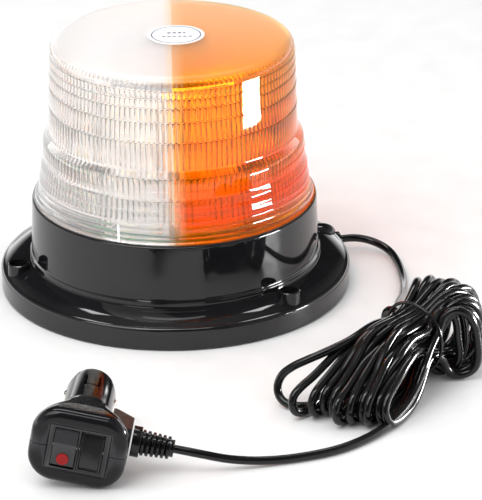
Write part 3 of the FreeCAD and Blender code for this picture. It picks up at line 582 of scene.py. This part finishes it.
def dress_frame():
    """Every CAD part gets its slot's material."""
    for name, node in frame["nodes"].items():
        for place in node.material_slots:
            place.material = MATERIALS[SLOT_OF[name]]


dress_frame()
cord.data.materials.append(MATERIALS["cable_pvc"])
tie.data.materials.append(MATERIALS["cable_pvc"])

# ------------------------------------------------------------------ mesh helpers


def make_piece(name, bm, slot, body, nodes, angle=32.0):
    """Turn a bmesh into a piece that rides on a body and stands for some CAD nodes."""
    mesh = bpy.data.meshes.new(name)
    bmesh.ops.recalc_face_normals(bm, faces=bm.faces)
    bm.to_mesh(mesh)
    bm.free()
    mesh.polygons.foreach_set("use_smooth", [True] * len(mesh.polygons))
    mesh.set_sharp_from_angle(angle=math.radians(angle))
    mesh.materials.append(MATERIALS[slot])
    piece = placed(name, mesh)
    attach(piece, body)
    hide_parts(*nodes)
    return piece


def round_edges(piece, width):
    bevel = piece.modifiers.new("edges", "BEVEL")
    bevel.width = width * MM
    bevel.segments = 2
    bevel.limit_method = "ANGLE"
    bevel.angle_limit = math.radians(35.0)
    bevel.harden_normals = True


def refined(node, name, body, width, angle=32.0):
    """A copy of a CAD part with its seams welded, its sharp edges rounded and its curves smooth."""
    bm = bmesh.new()
    bm.from_mesh(frame["nodes"][node].data)
    bmesh.ops.remove_doubles(bm, verts=bm.verts, dist=0.000002)
    bmesh.ops.dissolve_limit(bm, angle_limit=math.radians(0.5), verts=bm.verts, edges=bm.edges)
    piece = make_piece(name, bm, SLOT_OF[node], body, [node], angle)
    round_edges(piece, width)
    return piece


# ------------------------------------------------------------------ lens

FLUTE_STEPS = 6
FLUTE_DEPTH = 0.62
LENS_WALL = 2.2
LENS_RINGS = (112.2, 108.3, 104.0, 97.5, 88.0)
SKIRT_RINGS = (66.9, 58.4)


def arc_points(centre, radius, start, end, steps):
    """Points along an arc, angles in degrees."""
    return [(centre[0] + radius * math.cos(math.radians(start + (end - start) * k / steps)),
             centre[1] + radius * math.sin(math.radians(start + (end - start) * k / steps)))
            for k in range(steps + 1)]


def lens_outside():
    """The lens wall's outer line from its foot to the middle of its top, as (radius, height)."""
    line = [(59.8, 38.2), (59.8, 43.75), (64.0, 43.75), (64.2, 44.0)]
    for k in range(1, 17):
        turn = math.pi / 2 * k / 16
        bead = 0.45 if k in (7, 11, 14) else 0.0
        line.append((64.2 - 3.4 * math.sin(turn) + bead, 44.0 + 11.8 * (1 - math.cos(turn))))
    line += [(60.6, 56.6), (60.3, 60.2), (60.2, 60.8), (59.3, 63.2), (59.28, 63.8),
             (59.22, 70.0), (59.2, 70.6), (58.6, 72.6), (56.5, 74.9), (56.3, 75.6), (56.28, 76.1)]
    line += arc_points((50.3, 113.4), 4.8, 0, 90, 8)
    line += [(40.0, 118.2), (20.0, 118.2), (0.0, 118.2)]
    return line


def with_rings(line):
    """Add each raised ring of the outside to its line."""
    result = [line[0]]
    for start, end in zip(line, line[1:]):
        for height in sorted(LENS_RINGS + SKIRT_RINGS):
            if start[1] < height - 0.6 and height + 0.6 < end[1]:
                slope = (end[0] - start[0]) / (end[1] - start[1])
                for offset, rise in ((-0.45, 0.0), (-0.2, 0.28), (0.2, 0.28), (0.45, 0.0)):
                    result.append((start[0] + slope * (height + offset - start[1]) + rise, height + offset))
        result.append(end)
    return result


def lens_inside():
    """The lens wall's inner line from the middle of its top to its foot, with how deep its flutes are."""
    top = 118.2 - LENS_WALL
    line = [(0.0, top, 0), (20.0, top, 0), (40.0, top, 0), (48.0, top, 0)]
    line += [(r, z, 1) for r, z in arc_points((49.3, 112.4), 3.6, 72, 30, 3)]
    line += [(r, z, 0) for r, z in arc_points((49.3, 112.4), 3.6, 20, 10, 2)]
    line += [(52.9, 111.8, 0), (53.1, 111.2, 1)]
    for height in LENS_RINGS[1:]:
        radius = 53.2 + (111.2 - height) * 0.03
        line += [(radius, height + 0.5, 1), (radius, height + 0.25, 0), (radius, height - 0.25, 0),
                 (radius, height - 0.5, 1)]
    line += [(54.0, 76.0, 1), (54.2, 75.0, 0), (56.4, 72.0, 0), (56.6, 71.4, 1), (56.8, 64.2, 1),
             (57.0, 63.2, 0), (57.6, 62.0, 0), (57.8, 61.4, 1), (58.0, 57.8, 1), (58.2, 57.0, 0),
             (58.4, 56.2, 1), (58.8, 53.4, 1), (59.4, 52.4, 0), (60.6, 46.0, 0), (60.6, 44.8, 0),
             (57.6, 43.6, 0), (57.6, 38.2, 0)]
    return line


def lens_half(name, node, side):
    """Half of the lens: smooth with rings outside, vertical flutes inside."""
    outer = [(r, z, 0) for r, z in with_rings(lens_outside())]
    rows = outer + lens_inside()
    count = LENS_FLUTES // 2 * FLUTE_STEPS
    gap = 0.03
    bm = bmesh.new()
    grid = []
    for radius, height, depth in rows:
        if radius < 0.001:
            grid.append([bm.verts.new((side * gap * MM, 0.0, height * MM))])
            continue
        ring = []
        for step in range(count + 1):
            angle = math.pi * (step / count - 0.5)
            flute = FLUTE_DEPTH * depth * abs(math.sin(math.pi * step / FLUTE_STEPS))
            reach = radius - flute
            ring.append(bm.verts.new((side * (reach * math.cos(angle) + gap) * MM,
                                      reach * math.sin(angle) * MM, height * MM)))
        grid.append(ring)
    closed = grid + grid[:1]
    for first, second in zip(closed, closed[1:]):
        if len(first) == 1 and len(second) == 1:
            continue
        for step in range(count):
            corners = [first[min(step, len(first) - 1)], first[min(step + 1, len(first) - 1)],
                       second[min(step + 1, len(second) - 1)], second[min(step, len(second) - 1)]]
            add_face(bm, corners)
    edges = [edge for edge in bm.edges if edge.is_boundary]
    bmesh.ops.triangle_fill(bm, edges=edges, use_beauty=True)
    return make_piece(name, bm, SLOT_OF[node], "lens", [node], 40.0)


lens_half("lens_half_clear", "lens_clear", -1)
lens_half("lens_half_amber", "lens_amber", 1)

# ------------------------------------------------------------------ turned and carved parts


def bow(start, end, radius, steps):
    """Points along an arc from a start to an end, without the start; a positive radius turns left."""
    start, end = Vector(start), Vector(end)
    chord = end - start
    left = Vector((-chord.y, chord.x)).normalized()
    rise = math.sqrt(radius * radius - chord.length_squared / 4)
    centre = (start + end) / 2 + left * math.copysign(rise, radius)
    first = math.atan2(start.y - centre.y, start.x - centre.x)
    last = math.atan2(end.y - centre.y, end.x - centre.x)
    turn = (last - first + math.pi) % (2 * math.pi) - math.pi
    return [(centre.x + abs(radius) * math.cos(first + turn * k / steps),
             centre.y + abs(radius) * math.sin(first + turn * k / steps)) for k in range(1, steps + 1)]


def turned_mesh(outline, segments):
    """A mesh turned about Z from a closed (radius, height) outline in millimetres."""
    bm = bmesh.new()
    rows = []
    for radius, height in outline:
        if radius < 0.001:
            rows.append([bm.verts.new((0.0, 0.0, height * MM))] * segments)
            continue
        rows.append([bm.verts.new((radius * MM * math.cos(2 * math.pi * k / segments),
                                   radius * MM * math.sin(2 * math.pi * k / segments), height * MM))
                     for k in range(segments)])
    for first, second in zip(rows, rows[1:] + rows[:1]):
        for k in range(segments):
            following = (k + 1) % segments
            add_face(bm, [first[k], first[following], second[following], second[k]])
    bmesh.ops.recalc_face_normals(bm, faces=bm.faces)
    return bm


def rod(radius, low, high, place, segments=48, top=None):
    """An upright rod with a bevelled or tapering top, to add or to carve with."""
    top = radius if top is None else top
    bm = turned_mesh([(0, low), (radius, low), (radius, high - 0.3), (top - 0.3, high), (0, high)], segments)
    bmesh.ops.translate(bm, verts=bm.verts, vec=Vector(place) * MM)
    return bm


def block(low, high):
    """A box between two corners, to carve with."""
    bm = bmesh.new()
    bmesh.ops.create_cube(bm, size=1.0)
    size = Vector(high) - Vector(low)
    bmesh.ops.scale(bm, verts=bm.verts, vec=size * MM)
    bmesh.ops.translate(bm, verts=bm.verts, vec=(Vector(low) + size / 2) * MM)
    return bm


def carved(bm, added, removed):
    """Join some meshes to a mesh and cut others out of it."""
    helpers = []
    for kind, tools in (("BODY", [bm]), ("UNION", added), ("DIFFERENCE", removed)):
        for tool in tools:
            mesh = bpy.data.meshes.new("tool")
            tool.to_mesh(mesh)
            tool.free()
            item = placed("tool", mesh)
            helpers.append(item)
            if kind != "BODY":
                step = helpers[0].modifiers.new("carve", "BOOLEAN")
                step.operation = kind
                step.solver = "EXACT"
                step.object = item
    shown = helpers[0].evaluated_get(bpy.context.evaluated_depsgraph_get())
    result = bmesh.new()
    result.from_mesh(shown.to_mesh())
    for item in helpers:
        bpy.data.objects.remove(item, do_unlink=True)
    return result


def on_circle(radius, angle, height=0.0):
    return (radius * math.cos(math.radians(angle)), radius * math.sin(math.radians(angle)), height)


BOSS_CIRCLE = 73.4
BOSS_ANGLES = (-46.5, 73.5, 193.5)
EXIT_ANGLE = 20.0


def make_housing():
    """Flange with screw bosses and a cable blister, and the drum under the lens."""
    line = [(0, 12.0), (63.0, 12.0), (75.5, 8.4), (77.4, 7.0), (77.4, 0.4), (79.3, 0.4), (79.8, 0.7),
            (80.0, 1.3), (80.0, 2.0), (80.0, 8.4), (80.0, 9.2)]
    line += bow((80.0, 9.2), (78.5, 10.9), 1.8, 7)
    line += bow((78.5, 10.9), (67.6, 14.7), 26.0, 14)
    line += [(67.3, 14.8), (66.6, 14.8), (66.5, 14.95), (66.5, 17.2), (66.4, 17.45), (65.95, 17.95),
             (65.8, 18.3), (65.78, 19.2), (64.93, 41.6), (64.9, 42.3)]
    line += bow((64.9, 42.3), (64.1, 43.2), 0.9, 5)
    line += [(63.9, 43.2), (63.9, 42.5), (62.5, 42.5), (62.5, 43.2), (61.8, 43.2), (61.8, 14.4), (0, 14.4)]
    bosses = [on_circle(BOSS_CIRCLE, angle) for angle in BOSS_ANGLES]
    added = [rod(4.8, 1.0, 17.0, boss) for boss in bosses]
    blister = bmesh.new()
    bmesh.ops.create_uvsphere(blister, u_segments=40, v_segments=24, radius=1.0)
    turn = Matrix.Rotation(math.radians(EXIT_ANGLE), 4, "Z")
    shape = Matrix.Diagonal((8.2 * MM, 5.6 * MM, 4.6 * MM, 1.0))
    place = Matrix.Translation(Vector(on_circle(71.2, EXIT_ANGLE, 11.6)) * MM)
    bmesh.ops.transform(blister, matrix=place @ turn @ shape, verts=blister.verts)
    cut = bmesh.ops.bisect_plane(blister, geom=blister.verts[:] + blister.edges[:] + blister.faces[:],
                                 plane_co=(0, 0, 10.2 * MM), plane_no=(0, 0, -1), clear_outer=True)
    rim = [item for item in cut["geom_cut"] if isinstance(item, bmesh.types.BMEdge)]
    bmesh.ops.contextual_create(blister, geom=rim)
    added.append(blister)
    removed = [rod(3.9, 6.0, 30.0, boss) for boss in bosses]
    removed += [rod(2.3, -3.0, 8.0, boss, 32) for boss in bosses]
    bm = carved(turned_mesh(line, 216), added, removed)
    piece = make_piece("housing_skin", bm, "housing_black", "beacon_base", ["housing"], 30.0)
    round_edges(piece, 0.25)


make_housing()

PLUG = (Matrix.Translation(Vector((-40.9, -213.2, 17.9)) * MM) @ Matrix.Rotation(math.radians(-5.0), 4, "Z")
        @ Matrix.Rotation(math.radians(11.0), 4, "Y"))
ALONG_Y = Matrix.Rotation(math.radians(-90.0), 4, "X")


def half_section(width, height, corner, depth, upper):
    """Half of a round-cornered section of the head, from one side over to the other."""
    points = [(width - 0.7, 0.12), (width - 0.12, 0.12), (width, 0.3)]
    for centre, start in (((width - corner, height - corner), 0), ((corner - width, height - corner), 90)):
        points += arc_points(centre, corner, start, start + 90, 14)
    points += [(-width, 0.3), (0.12 - width, 0.12), (0.7 - width, 0.12)]
    side = 1 if upper else -1
    return [(x, depth, z * side) for x, z in points]


HEAD_SECTIONS = [
    (12.0, 12.5, 9.8, 0.8), (1.3, 12.5, 9.8, 0.8), (0.9, 12.55, 9.85, 0.85), (0.55, 12.95, 10.25, 1.2),
    (0.5, 13.4, 10.7, 1.7), (0.25, 15.6, 12.4, 6.2), (0.3, 16.9, 13.3, 8.3), (0.8, 18.3, 14.6, 9.8),
    (1.7, 19.3, 15.5, 10.6), (3.0, 19.8, 15.85, 11.0), (4.6, 20.0, 16.0, 11.2), (7.0, 19.7, 15.9, 11.4),
    (10.0, 18.8, 15.6, 11.6), (14.0, 17.3, 14.8, 11.8), (18.0, 15.7, 13.8, 11.7), (22.0, 14.1, 12.9, 11.5),
    (26.0, 12.6, 11.9, 11.3), (29.4, 11.3, 11.2, 10.9), (30.3, 10.95, 10.95, 10.8), (30.5, 10.6, 10.6, 10.5),
    (30.5, 9.4, 9.4, 9.3), (28.0, 9.2, 9.2, 9.1),
]


def make_shell(node, upper):
    """Half of the plug's head, with its half of the wedge that the cable comes out of."""
    bm = bmesh.new()
    rows = []
    for depth, width, height, corner in HEAD_SECTIONS:
        section = half_section(width, height, corner, depth, upper)
        rows.append([bm.verts.new(Vector(point) * MM) for point in section])
    for first, second in zip(rows, rows[1:]):
        for k in range(len(first) - 1):
            bm.faces.new((first[k], first[k + 1], second[k + 1], second[k]))
    side = 1 if upper else -1
    outline = [(11.0, 13.0), (20.0, 13.0), (20.0, 23.6), (12.4, 29.1), (11.0, 29.1)]
    inner = [bm.verts.new(Vector((x, y, 0.12 * side)) * MM) for x, y in outline]
    outer = [bm.verts.new(Vector((x, y, 8.0 * side)) * MM) for x, y in outline]
    bm.faces.new(inner)
    bm.faces.new(outer)
    for k in range(5):
        bm.faces.new((inner[k - 1], inner[k], outer[k], outer[k - 1]))
    bmesh.ops.transform(bm, matrix=PLUG, verts=bm.verts)
    piece = make_piece(node + "_skin", bm, "plug_black", "beacon_base", [node], 40.0)
    round_edges(piece, 0.3)


make_shell("plug_shell_lower", False)
make_shell("plug_shell_upper", True)


def make_barrel():
    """Barrel with its latch and side slots, and the nose cap."""
    line = [(9.05, 28.2), (9.05, 30.55), (10.15, 30.55), (10.3, 30.7), (10.3, 31.5), (10.3, 53.9),
            (10.25, 54.3), (10.0, 54.5), (6.6, 54.5), (6.6, 47.1), (8.2, 47.1), (8.2, 32.6), (5.0, 32.6),
            (5.0, 28.2)]
    slits = [block((x, 41.8, 5.4), (x + 1.0, 50.6, 11.4)) for x in (-3.3, 2.3)]
    slits += [block((-3.3, 41.8, 5.4), (3.3, 42.9, 11.4)), block((-15, 46.2, -1.8), (15, 53.8, 1.8))]
    bm = turned_mesh(line, 96)
    bmesh.ops.transform(bm, matrix=ALONG_Y, verts=bm.verts)
    bm = carved(bm, [], slits)
    bmesh.ops.transform(bm, matrix=PLUG, verts=bm.verts)
    barrel = make_piece("plug_barrel_skin", bm, "plug_black", "beacon_base", ["plug_barrel"], 35.0)
    round_edges(barrel, 0.15)
    line = [(3.9, 54.6), (9.2, 54.6), (9.4, 54.8), (9.4, 55.4), (9.4, 58.6), (9.3, 59.0), (8.8, 59.7),
            (8.0, 60.5), (7.5, 60.9), (7.0, 61.0), (3.1, 61.0), (2.8, 60.7), (2.8, 59.0), (3.9, 59.0)]
    bm = turned_mesh(line, 96)
    bmesh.ops.transform(bm, matrix=PLUG @ ALONG_Y, verts=bm.verts)
    make_piece("nose_cap_skin", bm, "plug_black", "nose_cap", ["nose_cap"], 35.0)


make_barrel()


def make_dished_rocker():
    """The mode rocker: one long face with a thin raised edge round a dished middle."""
    half, top = 4.7, 7.9
    face = [(0.9, top), (-0.6, 4.0), (-1.4, 0.0), (-1.8, -4.0), (-1.6, -top)]
    face[1:1] = [(0.75, top - 0.5), (0.6, top - 0.9)]
    face[-1:-1] = [(-1.65, 0.9 - top), (-1.62, 0.5 - top)]
    rows = []
    bm = bmesh.new()
    across = (-half, -half + 0.5, -half + 0.9, -2.0, 0.0, 2.0, half - 0.9, half - 0.5, half)
    for depth, height in face:
        row = []
        for x in across:
            inside = abs(x) < half - 0.7 and abs(height) < top - 0.7
            sink = 1.1 + 0.5 * (1 - (x / half) ** 2) if inside else 0.0
            row.append(bm.verts.new(Vector((x, depth + sink, height)) * MM))
        rows.append(row)
    for first, second in zip(rows, rows[1:]):
        for k in range(len(across) - 1):
            bm.faces.new((first[k], first[k + 1], second[k + 1], second[k]))
    rim = [edge for edge in bm.edges if edge.is_boundary]
    back = bmesh.ops.extrude_edge_only(bm, edges=rim)
    for vert in [item for item in back["geom"] if isinstance(item, bmesh.types.BMVert)]:
        vert.co.y = 4.6 * MM
    swing = (Matrix.Translation((5.4 * MM, 3.4 * MM, 0)) @ Matrix.Rotation(math.radians(-9.0), 4, "X")
             @ Matrix.Translation((0, -3.4 * MM, 0)))
    bmesh.ops.transform(bm, matrix=PLUG @ swing, verts=bm.verts)
    piece = make_piece("mode_rocker_skin", bm, "switch_black", "mode_rocker", ["mode_rocker"], 30.0)
    round_edges(piece, 0.12)


make_dished_rocker()

for node, width in (("cable_grommet", 0.15), ("strain_relief", 0.2), ("switch_housing", 0.3),
                    ("power_rocker", 0.25), ("tip_contact", 0.1)):
    owner = next(body for body, nodes in frame["record"]["behaviour"]["bodies"].items() if node in nodes)
    refined(node, node + "_skin", owner, width)

# ------------------------------------------------------------------ floor and light


def make_floor():
    bm = bmesh.new()
    bmesh.ops.create_grid(bm, x_segments=2, y_segments=2, size=3.0)
    mesh = bpy.data.meshes.new("floor")
    bm.to_mesh(mesh)
    bm.free()
    material = surface("floor_white", (0.84, 0.84, 0.84), 0.5, 300.0, 0.00001, vary=0.01)
    mesh.materials.append(material)
    placed("floor", mesh)


def area_light(name, place, aim, width, height, power, mirror_only=False):
    """A rectangular lamp; one that is mirror_only shows in reflections and lights nothing else."""
    data = bpy.data.lights.new(name, "AREA")
    data.shape = "RECTANGLE"
    data.size = width
    data.size_y = height
    data.energy = power
    lamp = placed(name, data)
    direction = Vector(aim) - Vector(place)
    lamp.rotation_euler = direction.to_track_quat("-Z", "Y").to_euler()
    lamp.location = place
    if mirror_only:
        lamp.visible_diffuse = False
        lamp.visible_transmission = False


def make_world():
    """White all round for the picture and the lamps' light; reflections see a darker room with lit sides."""
    world = bpy.data.worlds.new("studio")
    world.use_nodes = True
    tree = world.node_tree
    tree.nodes.clear()
    heading = add_node(tree, "ShaderNodeTexCoord").outputs["Generated"]
    parts = add_node(tree, "ShaderNodeSeparateXYZ", Vector=heading)
    low = maths(tree, "MULTIPLY", span(tree, parts.outputs["Z"], 2.6, 0.0, 0.06, 0.24),
                span(tree, parts.outputs["Y"], 0.1, 1.0, -0.5, 0.1))
    aside = maths(tree, "ABSOLUTE", parts.outputs["X"])
    sides = maths(tree, "MULTIPLY", span(tree, aside, 0.0, 0.9, 0.35, 0.8),
                  span(tree, parts.outputs["Z"], 1.0, 0.3, 0.1, 0.7))
    above = span(tree, parts.outputs["Z"], 0.0, 0.3, 0.75, 0.98)
    total = maths(tree, "ADD", maths(tree, "ADD", low, sides), maths(tree, "ADD", above, 0.02))
    room = add_node(tree, "ShaderNodeBackground", Color=(1.0, 1.0, 1.0, 1.0), Strength=total)
    white = add_node(tree, "ShaderNodeBackground", Color=(1.0, 1.0, 1.0, 1.0), Strength=1.0)
    light = add_node(tree, "ShaderNodeLightPath")
    mix = add_node(tree, "ShaderNodeMixShader")
    tree.links.new(light.outputs["Is Glossy Ray"], mix.inputs[0])
    tree.links.new(white.outputs["Background"], mix.inputs[1])
    tree.links.new(room.outputs["Background"], mix.inputs[2])
    add_node(tree, "ShaderNodeOutputWorld", Surface=mix.outputs["Shader"])
    bpy.context.scene.world = world


make_floor()
make_world()
area_light("key", (-0.5, -0.5, 1.1), (0.0, 0.0, 0.05), 0.9, 0.9, 9.0)
area_light("right_card", (0.245, -0.09, 0.037), (0.03, -0.02, 0.09), 0.085, 0.030, 1.0, mirror_only=True)
area_light("top_card", (-0.02, -0.38, 0.95), (0.0, -0.05, 0.02), 0.60, 0.10, 1.9, mirror_only=True)
area_light("back_card", (0.0, 0.42, 0.85), (0.0, -0.06, 0.02), 0.70, 0.14, 2.6, mirror_only=True)
bpy.context.scene.view_settings.view_transform = "Standard"
